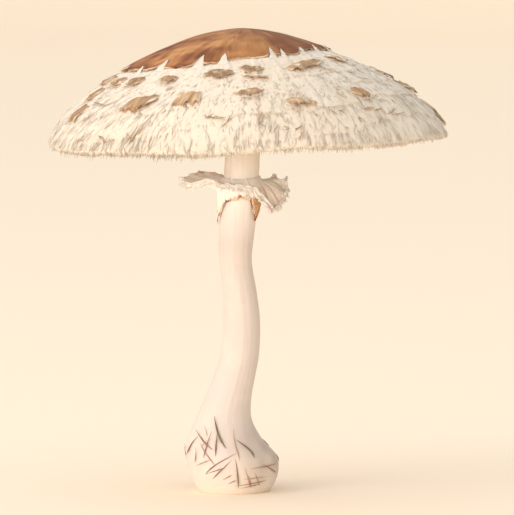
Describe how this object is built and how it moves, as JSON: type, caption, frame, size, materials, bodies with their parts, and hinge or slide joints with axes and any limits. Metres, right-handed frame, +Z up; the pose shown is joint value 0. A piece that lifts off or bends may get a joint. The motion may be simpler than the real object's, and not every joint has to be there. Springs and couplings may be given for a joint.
{
  "type": "shaggy parasol mushroom",
  "caption": "Mature parasol mushroom standing on its cut bulb: wide domed cap with torn shaggy scales, free gills, a loose ragged ring and a bent stem.",
  "frame": {"origin": "centre of the flat cut face under the bulb, on the surface that the mushroom stands on", "axes": "+Z up the stem, -Y towards the side that the picture shows, +X to that viewer's right"},
  "size_m": [0.1441, 0.1427, 0.1669],
  "materials": {
    "cap_flesh": "cream, woolly and dry, in torn tufts and flakes that are brown on top",
    "crown_skin": "brown, dry and faintly silky, streaked from the middle to a torn edge",
    "gills": "white to cream, thin and matte",
    "ring_tissue": "cream, thin and felted, with a brown torn edge",
    "stem_skin": "pale cream, smooth and silky, with litter stuck to the bulb"
  },
  "bodies": {
    "root": {"cap": "cap_flesh", "crown_skin": "crown_skin", "gills": "gills", "ring": "ring_tissue", "stem": "stem_skin"}
  },
  "joints": []
}
